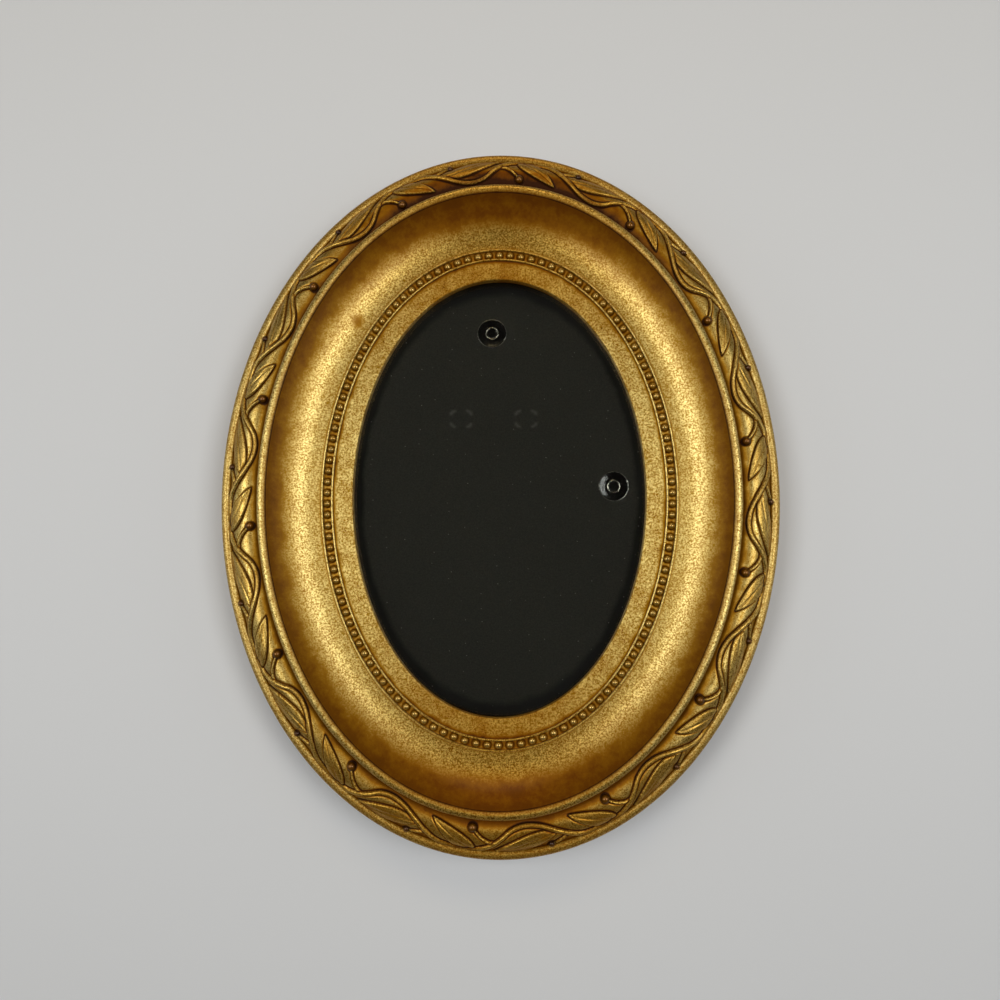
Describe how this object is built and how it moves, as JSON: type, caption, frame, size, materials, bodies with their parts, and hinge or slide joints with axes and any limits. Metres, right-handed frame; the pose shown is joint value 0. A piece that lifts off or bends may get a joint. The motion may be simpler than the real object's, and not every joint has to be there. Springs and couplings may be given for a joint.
{
  "type": "oval picture frame",
  "caption": "Oval gilded picture frame with a vine and pearl moulding, glass, riveted easel back with a hinged leg, ring hangers and turn buttons.",
  "frame": {"origin": "centre of the rear foot ring, on the surface that the frame lies on", "axes": "+X to the right of the picture, +Y to the top of the picture, +Z out of the face"},
  "size_m": [0.1904, 0.2412, 0.025],
  "materials": {
    "gilt": "cast resin with gold leaf finish, brown patina in the recesses",
    "glass": "clear picture glass",
    "black_paper": "black facing paper, slight sheen",
    "pressboard": "black covered pressboard",
    "black_steel": "black enamelled sheet steel",
    "bright_steel": "nickel plated",
    "brass": "brass plated"
  },
  "bodies": {
    "frame": {"moulding": "gilt", "glass_pane": "glass", "facing_paper": "black_paper", "backing_board": "pressboard", "hinge_fixed_leaf": "black_steel", "hinge_clinch_rivets": "black_steel", "hinge_pin": "bright_steel", "hanger_strap_top": "black_steel", "hanger_strap_side": "black_steel", "hanger_washer_top": "black_steel", "hanger_washer_side": "black_steel", "hanger_rivet_top": "bright_steel", "hanger_rivet_side": "bright_steel", "turn_button_screws": "brass"},
    "easel_leg": {"easel_leg": "pressboard", "hinge_leg_leaf": "black_steel", "leg_rivets": "bright_steel"},
    "top_ring": {"hanger_ring_top": "bright_steel"},
    "side_ring": {"hanger_ring_side": "bright_steel"},
    "button_upper_right": {"turn_button_upper_right": "brass"},
    "button_upper_left": {"turn_button_upper_left": "brass"},
    "button_lower_left": {"turn_button_lower_left": "brass"},
    "button_lower_right": {"turn_button_lower_right": "brass"}
  },
  "joints": [
    {"name": "easel_leg_hinge", "type": "hinge", "parent": "frame", "child": "easel_leg", "pos_m": [-0.0021, 0.02, 0.00445], "axis": [1, 0, 0], "range_deg": [0, 30]},
    {"name": "top_ring_swing", "type": "hinge", "parent": "frame", "child": "top_ring", "pos_m": [-0.0027, 0.0654, 0.00485], "axis": [-1, 0, 0], "range_deg": [0, 150]},
    {"name": "side_ring_swing", "type": "hinge", "parent": "frame", "child": "side_ring", "pos_m": [0.0476, 0.0027, 0.00485], "axis": [0, 1, 0], "range_deg": [0, 150]},
    {"name": "button_upper_right_turn", "type": "hinge", "parent": "frame", "child": "button_upper_right", "pos_m": [0.04119, 0.05915, 0.0064], "axis": [0, 0, 1], "range_deg": [-90, 90]},
    {"name": "button_upper_left_turn", "type": "hinge", "parent": "frame", "child": "button_upper_left", "pos_m": [-0.04119, 0.05915, 0.0064], "axis": [0, 0, 1], "range_deg": [-90, 90]},
    {"name": "button_lower_left_turn", "type": "hinge", "parent": "frame", "child": "button_lower_left", "pos_m": [-0.04119, -0.05915, 0.0064], "axis": [0, 0, 1], "range_deg": [-90, 90]},
    {"name": "button_lower_right_turn", "type": "hinge", "parent": "frame", "child": "button_lower_right", "pos_m": [0.04119, -0.05915, 0.0064], "axis": [0, 0, 1], "range_deg": [-90, 90]}
  ]
}
